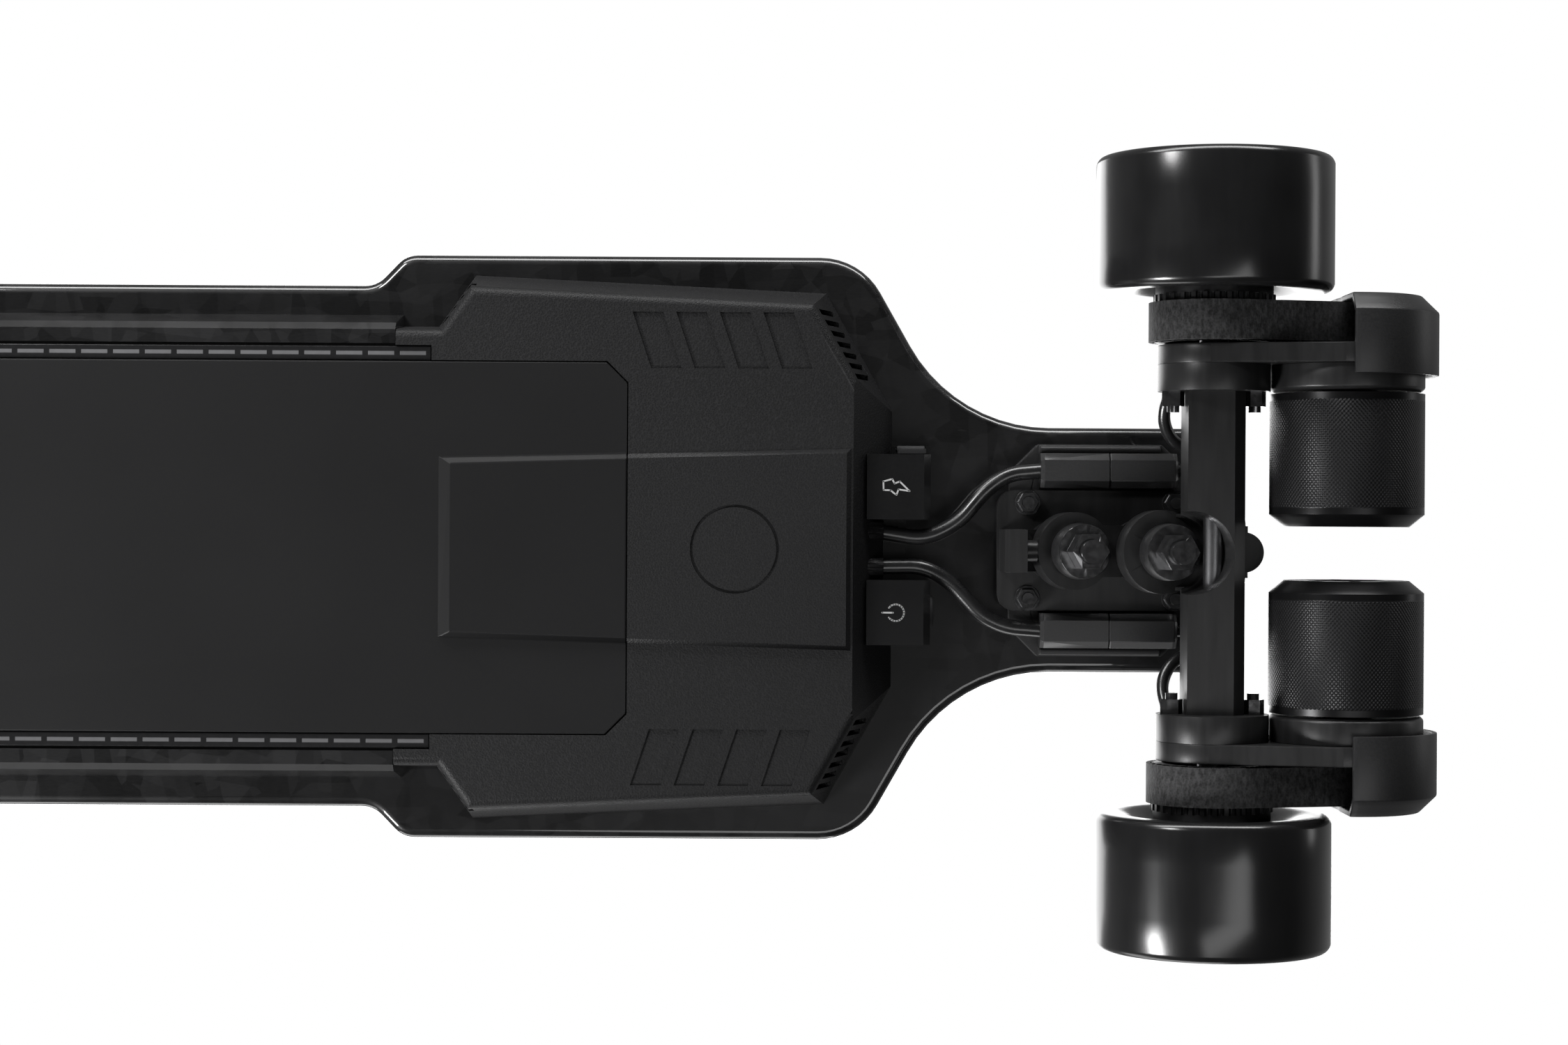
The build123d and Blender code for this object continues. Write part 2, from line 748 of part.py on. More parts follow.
def make_truck_mounts():
    save("truck_risers", *nose_tail(make_riser()))
    save("base_plates", *nose_tail(make_base_plate()))
    head = bolt_head_cone(0)
    shank_low = deck_top - truck_bolt_length
    shank = Pos(0, 0, shank_low) * Cylinder(truck_bolt_radius, truck_bolt_length, align=ON_BASE)
    save("truck_bolts", *[Pos(x, y, 0) * (shank + head) for x, y in truck_bolt_places()])
    nut_high = ride_height - riser_thickness - base_plate_thickness
    nut_plane = Plane(origin=(0, 0, nut_high), z_dir=(0, 0, -1))
    nut = bar(nut_plane, truck_flange_radius, 0, 1.2) + hexagon(nut_plane, truck_nut_flat, 0, truck_nut_height)
    nut -= bar(nut_plane, truck_bolt_radius, -1, truck_nut_height + 1)
    save("truck_nuts", *[Pos(x, y, 0) * nut for x, y in truck_bolt_places()])
    save("inner_kingpins", *nose_tail(kingpin(inner_ring)))
    nuts = kingpin_nut_set(inner_ring)
    save("inner_kingpin_nuts", *nuts, *[to_tail(piece) for piece in nuts])
    save("front_inner_bushings", *bushing_pair(inner_ring))
    save("rear_inner_bushings", *[to_tail(piece) for piece in bushing_pair(inner_ring)])


def make_linkage():
    """The arm between the two kingpins: a ring inboard, a kingpin seat and a pivot cup outboard."""
    inner = kingpin_plane(inner_ring)
    outer = kingpin_plane(outer_ring)
    top = inner_ring[1] + 7
    pivot_x = pivot_end_x - 7
    pivot_z = outer_ring[1] + (pivot_x - outer_ring[0]) * math.tan(lean)
    seat_z = outer_ring[1] - seat_station * math.cos(lean)
    arm = side_profile([
        (inner_ring[0] + 12, top - 9), (inner_ring[0] + 12, top - 1.5), (inner_ring[0] + 20, top),
        (pivot_end_x - 4, top), (pivot_end_x - 4, seat_z + 1), (inner_ring[0] + 20, seat_z + 1),
    ], linkage_half)
    cup = bar(Plane(origin=(pivot_end_x - 8.5, 0, pivot_z - 8), z_dir=(0, 0, 1)), 8.5, 0, top - pivot_z + 8)
    body = arm + cup
    body += bar(outer, bushing_radius + 1.5, seat_station - 8, seat_station)
    body -= bar(outer, bushing_radius + 3, seat_station, -ring_half)
    body += bar(inner, linkage_ring_radius, -ring_half, ring_half)
    body -= bar(inner, linkage_ring_radius + 10, ring_half, ring_half + 30)
    body -= bar(inner, ring_bore, -ring_half - 20, ring_half + 1)
    body -= bar(inner, bushing_radius + 0.6, -ring_half - 20, -ring_half)
    body += bar(pivot_plane(inner_ring), pivot_radius, -linkage_ring_radius - 7, -linkage_ring_radius + 3)
    reach = (pivot_x - outer_ring[0]) / math.cos(lean)
    body -= bar(pivot_plane(outer_ring), pivot_radius + pivot_clearance, reach - 12, reach + 2)
    body -= bar(outer, kingpin_radius, seat_station - kingpin_seat_depth, seat_station + 1)
    return body


def make_hanger(beam_half, with_motors):
    """The axle beam with its ring, the nose that fits the linkage's cup and the recess for the kingpin nut."""
    half = beam_width / 2
    beam = side_profile([
        (axle_x - half, axle_z - half), (axle_x + half - beam_chamfer, axle_z - half),
        (axle_x + half, axle_z - half + beam_chamfer), (axle_x + half, axle_z + half - 2),
        (axle_x + half - 2, axle_z + half), (axle_x - half + 2, axle_z + half),
        (axle_x - half, axle_z + half - 2),
    ], beam_half)
    plane = kingpin_plane(outer_ring)
    ring_edge = outer_ring[0] + hanger_ring_radius
    web = side_profile([
        (outer_ring[0] + 6, outer_ring[1] - 3), (ring_edge - 2, outer_ring[1] + 8), (ring_edge + 7, outer_ring[1] + 5),
        (axle_x + half, axle_z + half - 3), (axle_x - half + 4, axle_z + half - 6),
    ], hanger_web_half)
    body = beam + web
    body -= bar(plane, kingpin_recess, ring_half, ring_half + 50)
    body -= bar(plane, beam_recess, ring_half + 14, ring_half + 60)
    body -= bar(plane, bushing_radius + 4, -ring_half - 20, -ring_half)
    body += bar(plane, hanger_ring_radius, -ring_half, ring_half)
    body -= bar(plane, ring_bore, -ring_half - 1, ring_half + 1)
    pivot_x = pivot_end_x - 7
    reach = (pivot_x - outer_ring[0]) / math.cos(lean)
    body += bar(pivot_plane(outer_ring), pivot_radius, hanger_ring_radius - 3, reach)
    axle_plane = Plane(origin=(axle_x, 0, axle_z), x_dir=(1, 0, 0), z_dir=(0, 1, 0))
    end = mount_face if with_motors else beam_half
    if with_motors:
        flange = bar(axle_plane, flange_radius, beam_half, mount_face)
        flange += bar(axle_plane, boss_radius, mount_face, mount_face + mount_plate_thickness)
        for side in (-1, 1):
            hole = Plane(origin=(axle_x + side * mount_bolt_offset, 0, axle_z), x_dir=(1, 0, 0), z_dir=(0, 1, 0))
            flange -= bar(hole, mount_bolt_radius, beam_half - 1, mount_face + 1)
        body += left_right(flange)
        end = mount_face + mount_plate_thickness
    else:
        body += left_right(bar(axle_plane, boss_radius, beam_half - 1, beam_half + 9))
        end = beam_half + 9
    body -= bar(axle_plane, axle_radius, -end - 1, end + 1)
    return body, end


def make_axle(shoulder):
    """The steel axle with its spacers and nuts, each a separate solid."""
    plane = Plane(origin=(axle_x, 0, axle_z), x_dir=(1, 0, 0), z_dir=(0, 1, 0))
    nut_start = bearing_end + 0.6
    end = nut_start + axle_nut_height + 2.5
    pieces = [bar(plane, axle_radius, -end, end)]
    gap = 0.1
    spacer = bar(plane, axle_sleeve_radius, shoulder, bearing_start - gap)
    between = bar(plane, axle_sleeve_radius, bearing_start + bearing_width + gap, bearing_end - bearing_width - gap)
    nut = hexagon(plane, axle_nut_flat, nut_start, nut_start + axle_nut_height)
    washer = bar(plane, axle_sleeve_radius + 1.5, bearing_end + gap, nut_start)
    through = bar(plane, axle_radius, shoulder - 1, end + 1)
    for piece in (spacer, between, nut + washer):
        pieces += left_right(piece - through)
    return pieces


def make_trucks():
    for name, place in (("front", lambda piece: piece), ("rear", to_tail)):
        with_motors = name == "rear"
        save(f"{name}_linkage", place(make_linkage()))
        outer_pieces = [kingpin(outer_ring)] + kingpin_nut_set(outer_ring)
        save(f"{name}_outer_kingpin", *[place(piece) for piece in outer_pieces])
        save(f"{name}_outer_bushings", *[place(piece) for piece in bushing_pair(outer_ring)])
        hanger, shoulder = make_hanger(rear_beam_half if with_motors else front_beam_half, with_motors)
        if with_motors:
            hanger -= left_right(motor_lead_hole())
        save(f"{name}_hanger", place(hanger))
        save(f"{name}_axle", *[place(piece) for piece in make_axle(shoulder)])


def motor_lead_hole():
    """The hole in the hanger's flange that a motor's lead goes into."""
    start, end = [Vector(-x, y, z) for x, y, z in MOTOR_ROUTE[-2:]]
    return bar(Plane(origin=start, z_dir=(end - start).normalized()), motor_lead_radius, 0, (end - start).length)


# ---------------------------------------------------------------- wheels

def wheel_plane():
    return Plane(origin=(axle_x, 0, axle_z), x_dir=(1, 0, 0), z_dir=(0, 1, 0))


def make_tyre():
    low = wheel_inner_face
    high = low + wheel_width
    radius = wheel_diameter / 2
    side = (wheel_width - core_width) / 2 - core_lip
    return wheel_plane() * turned([
        (core_radius, low + side, 0), (core_radius + 2, low + tyre_dish, 2), (radius - 11, low, 4),
        (radius, low, tyre_shoulder), (radius, high, tyre_shoulder), (radius - 11, high, 4),
        (core_radius + 2, high - tyre_dish, 2), (core_radius, high - side, 0),
    ])


def make_core():
    low = wheel_inner_face + (wheel_width - core_width) / 2
    high = low + core_width
    core = turned([
        (bearing_radius, low - core_lip, 0), (core_radius, low - core_lip, 0),
        (core_radius, high + core_lip, 0), (bearing_radius, high + core_lip, 0),
        (bearing_radius, high - bearing_width, 0), (bearing_radius - 1.5, high - bearing_width, 0),
        (bearing_radius - 1.5, low + bearing_width, 0), (bearing_radius, low + bearing_width, 0),
    ])
    for i in range(core_hole_count):
        turn = Rot(0, 0, 360 * i / core_hole_count) * Pos(core_hole_circle, 0, low - core_lip - 1)
        core -= turn * Cylinder(core_hole_radius, core_width + 2 * core_lip + 2, align=ON_BASE)
    return wheel_plane() * core


def make_bearings():
    bearings = []
    for start in (bearing_start, bearing_end - bearing_width):
        ring = turned([
            (axle_radius + bearing_bore_clearance, start, 0), (6.2, start, 0), (6.2, start + 0.6, 0),
            (9.2, start + 0.6, 0), (9.2, start, 0), (bearing_radius, start, 0),
            (bearing_radius, start + bearing_width, 0), (9.2, start + bearing_width, 0),
            (9.2, start + bearing_width - 0.6, 0), (6.2, start + bearing_width - 0.6, 0),
            (6.2, start + bearing_width, 0), (axle_radius + bearing_bore_clearance, start + bearing_width, 0),
        ])
        bearings.append(wheel_plane() * ring)
    return bearings


def toothed(radius, teeth, low, high):
    """A belt pulley's rim with one round groove for each tooth of the belt."""
    rim = Pos(0, 0, low) * Cylinder(radius, high - low, align=ON_BASE)
    groove = Pos(radius + 0.2, 0, low - 1) * Cylinder(groove_radius, high - low + 2, align=ON_BASE)
    return rim - [Rot(0, 0, 360 * i / teeth) * groove for i in range(teeth)]


def make_wheel_pulley():
    rim_end = wheel_inner_face - 1
    low = wheel_inner_face + (wheel_width - core_width) / 2 - core_lip
    pulley = toothed(wheel_pulley_tip, wheel_teeth, pulley_face, rim_end)
    hollow = wheel_pulley_tip - groove_radius - 3
    pulley -= Pos(0, 0, pulley_face - 1) * Cylinder(hollow, rim_end - pulley_face + 1 - pulley_web, align=ON_BASE)
    pulley += Pos(0, 0, rim_end) * Cylinder(core_radius - 3, low - rim_end, align=ON_BASE)
    pulley -= Cylinder(bearing_radius + 1, 400)
    return wheel_plane() * pulley


def make_wheels():
    for end, place in (("front", lambda piece: piece), ("rear", to_tail)):
        for side in ("left", "right"):
            drawn_left = (side == "left") == (end == "front")
            pieces = {"tyre": [make_tyre()], "core": [make_core()], "bearings": make_bearings()}
            if end == "rear":
                pieces["pulley"] = [make_wheel_pulley()]
            for kind, solids in pieces.items():
                if not drawn_left:
                    solids = [mirror(solid, about=Plane.XZ) for solid in solids]
                save(f"{end}_{side}_{kind}", *[place(solid) for solid in solids])


# ---------------------------------------------------------------- motors and belts

def motor_plane():
    return Plane(origin=(motor_x, 0, axle_z), x_dir=(1, 0, 0), z_dir=(0, 1, 0))


def two_circle_face(wheel_end, motor_end):
    """The outline of a belt round two circles, in the axle's plane."""
    lean_angle = math.acos((wheel_end - motor_end) / centre_distance)
    wheel_part = [Vector(math.cos(a), math.sin(a)) * wheel_end for a in (lean_angle, math.pi, -lean_angle)]
    motor_part = [
        Vector(centre_distance, 0) + Vector(math.cos(a), math.sin(a)) * motor_end for a in (-lean_angle, 0, lean_angle)
    ]
    return make_face([
        Edge.make_three_point_arc(*wheel_part), Edge.make_line(wheel_part[2], motor_part[0]),
        Edge.make_three_point_arc(*motor_part), Edge.make_line(motor_part[2], wheel_part[0]),
    ])


def make_belt():
    """A belt that wraps both pulleys just above their teeth, with its own teeth on the two free spans."""
    wheel_inside = wheel_pulley_tip + belt_clearance
    motor_inside = motor_pulley_tip + belt_clearance
    outside = two_circle_face(wheel_inside + belt_band, motor_inside + belt_band)
    belt = extrude(outside - two_circle_face(wheel_inside, motor_inside), amount=belt_width)
    lean_angle = math.acos((wheel_inside - motor_inside) / centre_distance)
    normal = Vector(math.cos(lean_angle), math.sin(lean_angle))
    along = Vector(math.sin(lean_angle), -math.cos(lean_angle))
    span = centre_distance * math.sin(lean_angle)
    free = span - 2 * 9.0
    count = int(free / belt_pitch)
    for i in range(count + 1):
        distance = span / 2 + (i - count / 2) * belt_pitch
        for side in (-1, 1):
            spot = normal * wheel_inside + along * distance
            tooth = Pos(spot.X, side * spot.Y, 0) * Cylinder(1.3, belt_width, align=ON_BASE)
            belt += tooth
    return wheel_plane() * Pos(0, 0, belt_start) * belt


def make_rotor():
    can_start = motor_inner_face + bell_length
    shaft_end = belt_start + belt_width - 1
    can = turned([
        (0, motor_inner_face + 2, 0), (14, motor_inner_face + 2, 0), (16, motor_inner_face, 0),
        (motor_radius - 6, motor_inner_face, 0), (motor_radius, motor_inner_face + 5, 0),
        (motor_radius, can_end - air_gap, 0), (motor_radius - can_wall, can_end - air_gap, 0),
        (motor_radius - can_wall, can_start, 0), (motor_shaft_radius, can_start, 0),
        (motor_shaft_radius, shaft_end, 0), (0, shaft_end, 0),
    ])
    for i in range(8):
        vent = Rot(0, 0, 45 * i) * Pos(20.5, 0, motor_inner_face - 1)
        can -= vent * Box(7, 5, bell_length + 2, align=ON_BASE)
    return motor_plane() * can


def make_stator():
    core_start = motor_inner_face + bell_length + 2.5
    bore = motor_shaft_radius + motor_shaft_clearance
    return motor_plane() * turned([
        (bore, core_start, 0), (stator_radius, core_start, 2), (stator_radius, can_end - 2, 0),
        (11, can_end - 2, 0), (11, can_end, 0), (motor_radius - 1.5, can_end, 0), (motor_radius, can_end + 1.5, 0),
        (motor_radius, mount_face, 0), (12, mount_face, 0), (12, mount_face + 3, 0), (bore, mount_face + 3, 0),
    ])


def make_motor_mount():
    """The plate that carries a motor, clamped to the hanger's flange."""
    plate = extrude(two_circle_face(flange_radius, mount_motor_radius), amount=mount_plate_thickness)
    plate -= Pos(0, 0, -1) * Cylinder(boss_radius, mount_plate_thickness + 2, align=ON_BASE)
    plate -= Pos(centre_distance, 0, -1) * Cylinder(12, mount_plate_thickness + 2, align=ON_BASE)
    for side in (-1, 1):
        plate -= Pos(side * mount_bolt_offset, 0, -1) * Cylinder(mount_bolt_radius, 20, align=ON_BASE)
    return wheel_plane() * Pos(0, 0, mount_face) * plate


def make_mount_bolts():
    bolts = []
    for side in (-1, 1):
        plane = Plane(origin=(axle_x + side * mount_bolt_offset, 0, axle_z), x_dir=(1, 0, 0), z_dir=(0, 1, 0))
        start = rear_beam_half - mount_nut_height - 2.5
        end = mount_face + mount_plate_thickness
        bolts.append(bar(plane, mount_bolt_radius, start, end))
        nut = hexagon(plane, mount_nut_flat, rear_beam_half - mount_nut_height, rear_beam_half)
        nut &= block((0, 2000), (0, 200), (-200, 200))
        bolts.append(nut - bar(plane, mount_bolt_radius, 0, 200))
    return bolts


def make_guard():
    """A cup over the motor pulley, open towards the wheel so that the belt runs in."""
    end = belt_start + belt_width + guard_clearance + guard_wall
    inner = mount_motor_radius + guard_clearance
    cup = turned([
        (inner, guard_start, 0), (guard_radius, guard_start, 0), (guard_radius, end - 7, 0),
        (guard_radius - 7, end, 0), (0, end, 0), (0, end - guard_wall, 0),
        (inner - 6, end - guard_wall, 0), (inner, end - guard_wall - 6, 0),
    ])
    cup = motor_plane() * cup
    cup -= block((0, guard_cut), (0, 400), (-200, 400))
    return cup - bar(wheel_plane(), wheel_diameter / 2 + 3, end - guard_wall - 8, end + 20)


def make_drive():
    save("motor_mounts", *[to_tail(piece) for piece in left_right(make_motor_mount())])
    save("mount_bolts", *[to_tail(piece) for bolt in make_mount_bolts() for piece in left_right(bolt)])
    save("drive_belts", *[to_tail(piece) for piece in left_right(make_belt())])
    save("belt_guards", *[to_tail(piece) for piece in left_right(make_guard())])
    save("motor_stators", *[to_tail(piece) for piece in left_right(make_stator())])
    pulley = toothed(motor_pulley_tip, motor_teeth, belt_start - 0.2, belt_start + belt_width)
    pulley -= Pos(0, 0, belt_start - 1) * Cylinder(motor_shaft_radius, belt_width, align=ON_BASE)
    pulley = motor_plane() * pulley
    rotor = make_rotor()
    for side, drawn in (("right", 0), ("left", 1)):
        save(f"{side}_rotor", to_tail(left_right(rotor)[drawn]))
        save(f"{side}_motor_pulley", to_tail(left_right(pulley)[drawn]))


os.makedirs("parts", exist_ok=True)
make_deck()
make_enclosure()
make_electrics()
make_ports()
make_leads()
make_truck_mounts()
make_trucks()
make_wheels()
make_drive()
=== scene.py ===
import math

import bmesh
import bpy
from mathutils import Matrix, Vector


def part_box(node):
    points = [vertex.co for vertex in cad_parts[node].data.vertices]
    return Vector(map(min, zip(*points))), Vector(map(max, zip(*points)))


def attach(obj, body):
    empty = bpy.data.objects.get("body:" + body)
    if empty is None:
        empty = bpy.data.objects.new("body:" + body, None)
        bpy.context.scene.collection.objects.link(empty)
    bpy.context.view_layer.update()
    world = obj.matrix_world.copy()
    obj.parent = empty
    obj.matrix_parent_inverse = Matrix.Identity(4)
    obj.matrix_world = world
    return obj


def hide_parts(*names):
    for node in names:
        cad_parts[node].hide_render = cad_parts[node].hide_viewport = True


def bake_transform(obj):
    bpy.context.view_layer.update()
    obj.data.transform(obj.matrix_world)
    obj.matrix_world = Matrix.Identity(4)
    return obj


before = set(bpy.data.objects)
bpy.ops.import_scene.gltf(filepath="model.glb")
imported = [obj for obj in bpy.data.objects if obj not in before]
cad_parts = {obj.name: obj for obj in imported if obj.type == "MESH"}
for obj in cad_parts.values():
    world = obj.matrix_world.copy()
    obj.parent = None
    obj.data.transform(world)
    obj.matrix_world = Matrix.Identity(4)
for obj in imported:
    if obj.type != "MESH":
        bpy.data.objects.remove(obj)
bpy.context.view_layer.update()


# ---------------------------------------------------------------- camera
# The camera is under the board and looks straight up, with the board's left side at the top of the view and
# the tail to the right. A very small roll lets the centre line fall a little towards the tail.

camera_data = bpy.data.cameras.new("camera")
camera_data.lens = 67.2
camera_data.sensor_width = 36.0
camera_data.clip_start = 0.05
camera_data.clip_end = 60.0
camera = bpy.data.objects.new("camera", camera_data)
camera.location = (-0.2756, 0.0114, -1.1515)
camera.rotation_euler = (0.0, math.pi, -0.006)
bpy.context.scene.collection.objects.link(camera)
bpy.context.scene.camera = camera
bpy.context.scene.view_settings.view_transform = "Standard"


# ---------------------------------------------------------------- deck
# The deck is pressed from chopped carbon fibre under a thick clear coat, so short dark bundles lie in every
# direction below a glossy surface. A rough grit sheet is glued to its top.

class Wire:
    """One socket of a finish, so that shader maths reads as plain sums."""

    def __init__(self, finish, socket):
        self.finish = finish
        self.socket = socket

    def maths(self, operation, first, second=0.0):
        return self.finish.node("ShaderNodeMath", {"operation": operation}, {0: first, 1: second})

    def __add__(self, other):
        return self.maths("ADD", self, other)

    def __radd__(self, other):
        return self.maths("ADD", other, self)

    def __sub__(self, other):
        return self.maths("SUBTRACT", self, other)

    def __rsub__(self, other):
        return self.maths("SUBTRACT", other, self)

    def __mul__(self, other):
        return self.maths("MULTIPLY", self, other)

    def __rmul__(self, other):
        return self.maths("MULTIPLY", other, self)

    def __truediv__(self, other):
        return self.maths("DIVIDE", self, other)

    def __gt__(self, other):
        return self.maths("GREATER_THAN", self, other)

    def __lt__(self, other):
        return self.maths("LESS_THAN", self, other)

    def __abs__(self):
        return self.maths("ABSOLUTE", self)


class Finish:
    """A node material round one Principled shader."""

    def __init__(self, name, **constants):
        self.material = bpy.data.materials.new(name)
        self.material.use_nodes = True
        self.tree = self.material.node_tree
        self.shader = self.tree.nodes["Principled BSDF"]
        for socket, value in constants.items():
            self.shader.inputs[socket.replace("_", " ")].default_value = value

    def node(self, kind, settings=None, sockets=None, output=0):
        made = self.tree.nodes.new(kind)
        for name, value in (settings or {}).items():
            setattr(made, name, value)
        for name, value in (sockets or {}).items():
            self.feed(made.inputs[name], value)
        return Wire(self, made.outputs[output])

    def feed(self, socket, value):
        if isinstance(value, Wire):
            self.tree.links.new(value.socket, socket)
        else:
            socket.default_value = value

    def place(self, scale=(1, 1, 1), turn=(0, 0, 0)):
        """Object coordinates, stretched and turned."""
        point = self.node("ShaderNodeTexCoord", output="Object")
        return self.node("ShaderNodeMapping", {}, {"Vector": point, "Scale": scale, "Rotation": turn})

    def along(self, axis):
        """One object coordinate in metres: 0 for X, 1 for Y, 2 for Z."""
        point = self.node("ShaderNodeTexCoord", output="Object")
        return self.node("ShaderNodeSeparateXYZ", {}, {0: point}, axis)

    def noise(self, scale, detail=2.0, where=None):
        return self.node("ShaderNodeTexNoise", {}, {"Vector": where or self.place(), "Scale": scale,
                                                    "Detail": detail})

    def grains(self, scale, where=None, output="Distance"):
        return self.node("ShaderNodeTexVoronoi", {}, {"Vector": where or self.place(), "Scale": scale},
                         output)

    def between(self, share, low, high):
        """A number from low to high as share goes from 0 to 1."""
        return self.node("ShaderNodeMapRange", {"clamp": True},
                         {"Value": share, "To Min": low, "To Max": high})

    def window(self, value, start, end, low=0.0, high=1.0):
        """A number from low to high as value goes from start to end."""
        return self.node("ShaderNodeMapRange", {"clamp": True},
                         {"Value": value, "From Min": start, "From Max": end, "To Min": low, "To Max": high})

    def colour(self, share, dark, light):
        """A base colour from dark to light as share goes from 0 to 1."""
        mix = self.node("ShaderNodeMix", {"data_type": "RGBA"},
                        {0: share, 6: (*dark, 1), 7: (*light, 1)}, 2)
        self.feed(self.shader.inputs["Base Color"], mix)

    def rough(self, value):
        self.feed(self.shader.inputs["Roughness"], value)

    def bump(self, height, depth, strength=1.0):
        """Raises the surface by height times a depth in metres."""
        bump = self.node("ShaderNodeBump", {}, {"Height": height, "Distance": depth, "Strength": strength})
        self.feed(self.shader.inputs["Normal"], bump)


def dress(finish, *names, edge=0.0):
    """Give CAD nodes a finish, and break their sharp edges by a small radius where one is named."""
    for name in names:
        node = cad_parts[name]
        node.data.materials.clear()
        node.data.materials.append(finish.material)
        if edge:
            weld = node.modifiers.new("weld", "WELD")
            weld.merge_threshold = 0.000002
            bevel = node.modifiers.new("edge", "BEVEL")
            bevel.width = edge
            bevel.segments = 2
            bevel.limit_method = "ANGLE"
            bevel.angle_limit = math.radians(35)


def keep(mesh, name, finish, body):
    """A new piece from a bmesh, riding on a body where one is given."""
    bmesh.ops.remove_doubles(mesh, verts=mesh.verts, dist=0.0000005)
    bmesh.ops.recalc_face_normals(mesh, faces=mesh.faces)
    data = bpy.data.meshes.new(name)
    mesh.to_mesh(data)
    mesh.free()
    data.materials.append(finish.material)
    for face in data.polygons:
        face.use_smooth = True
    data.set_sharp_from_angle(angle=math.radians(38))
    piece = bpy.data.objects.new(name, data)
    bpy.context.scene.collection.objects.link(piece)
    if body:
        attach(piece, body)
    return piece


carbon = Finish("forged_carbon", Coat_Weight=1.0, Coat_Roughness=0.05, Specular_IOR_Level=0.25)
drift = carbon.noise(9.0, 3.0)
flakes_long = carbon.grains(54.0, carbon.place((1.0, 2.6, 1.0), (0, 0, 0.5)), "Color")
flakes_wide = carbon.grains(61.0, carbon.place((2.4, 1.0, 1.0), (0, 0, -0.35)), "Color")
flake_tone = carbon.node("ShaderNodeSeparateColor", {}, {0: flakes_long}, 0)
flake_tone = 0.55 * flake_tone + 0.45 * carbon.node("ShaderNodeSeparateColor", {}, {0: flakes_wide}, 1)
fibre = carbon.noise(420.0, 4.0, carbon.place((1.0, 5.0, 1.0)))
tone = flake_tone * 0.7 + drift * 0.3 + (fibre - 0.5) * 0.35
carbon.colour(carbon.window(tone, 0.12, 0.85), (0.0014, 0.0014, 0.0015), (0.0085, 0.0085, 0.009))
carbon.rough(carbon.between(tone, 0.28, 0.5))
carbon.bump(carbon.noise(30.0, 2.0), 0.0004, 0.25)
dress(carbon, "deck_shell")

grit = Finish("grip_grit", Specular_IOR_Level=0.3)
grit_size = grit.grains(1500.0)
grit.colour(grit_size * 1.3, (0.045, 0.045, 0.046), (0.007, 0.007, 0.0075))
grit.rough(grit.between(grit_size, 0.55, 0.95))
grit.bump(1.0 - grit_size, 0.0007, 0.9)
dress(grit, "grip_sheet")


# ---------------------------------------------------------------- battery lid and covers
# The lid and the two covers are moulded in matte black plastic with a fine spark texture. The lid is a little
# smoother than the covers, and their edges are softened by the mould.

lid_plastic = Finish("lid_plastic", Specular_IOR_Level=0.16)
lid_grain = lid_plastic.noise(1900.0, 3.0)
lid_patches = lid_plastic.noise(7.0, 3.0)
lid_plastic.colour(lid_patches * 0.6 + lid_grain * 0.4, (0.005, 0.005, 0.0052), (0.009, 0.009, 0.0094))
lid_plastic.rough(lid_plastic.between(lid_patches, 0.44, 0.6))
lid_plastic.bump(lid_grain, 0.00008, 0.5)
dress(lid_plastic, "battery_lid", edge=0.0006)

cover_plastic = Finish("cover_plastic", Specular_IOR_Level=0.2)
cover_grain = cover_plastic.grains(1250.0)
cover_patches = cover_plastic.noise(11.0, 4.0)
cover_plastic.colour(cover_patches * 0.5 + cover_grain * 0.5,
                     (0.0045, 0.0045, 0.0047), (0.0125, 0.0125, 0.0131))
cover_plastic.rough(cover_plastic.between(cover_grain, 0.4, 0.62))
cover_plastic.bump(1.0 - cover_grain, 0.00016, 0.8)
dress(cover_plastic, "controller_cover", "front_cover", edge=0.0009)


# ---------------------------------------------------------------- light strips
# Each strip is a smoked clear lens over a row of small light chips. It is clipped between the lid and the
# deck's rail, and the chips show through it as a line of pale dashes.

chip_pitch = 0.0136
chip_share = 0.82
strip_middle = 0.0828
chip_half_width = 0.0006
chip_blur = 0.0004
lens = Finish("smoked_lens", Coat_Weight=0.6, Coat_Roughness=0.08)
chip_step = lens.node("ShaderNodeMath", {"operation": "FRACT"}, {0: lens.along(0) / chip_pitch})
from_middle = abs(abs(lens.along(1)) - strip_middle)
chip_lane = lens.window(from_middle, chip_half_width, chip_half_width + chip_blur, 1.0, 0.0)
chip = chip_lane * (chip_step < chip_share)
lens.colour(chip * (0.75 + 0.25 * lens.noise(300.0)), (0.009, 0.009, 0.0095), (0.12, 0.12, 0.124))
lens.rough(lens.between(lens.noise(500.0), 0.16, 0.3))
dress(lens, "light_lenses", edge=0.0004)


# ---------------------------------------------------------------- battery and electronics
# The cells are sleeved cylinders in two rows, with a green circuit board beside them. The motor controller is
# a finned, cast aluminium case. All of it is sealed inside the covers and the lid.

sleeve = Finish("cell_sleeve", Coat_Weight=0.3)
sleeve.colour(sleeve.noise(60.0, 3.0), (0.012, 0.06, 0.13), (0.03, 0.12, 0.22))
sleeve.rough(sleeve.between(sleeve.noise(220.0), 0.25, 0.42))
dress(sleeve, "battery_cells")

circuit = Finish("circuit_board")
track = circuit.node("ShaderNodeTexBrick", {}, {"Vector": circuit.place(), "Scale": 260.0,
                                                "Mortar Size": 0.03}, "Fac")
circuit.colour(track, (0.004, 0.06, 0.02), (0.01, 0.13, 0.05))
circuit.rough(circuit.between(track, 0.3, 0.45))
dress(circuit, "battery_board")

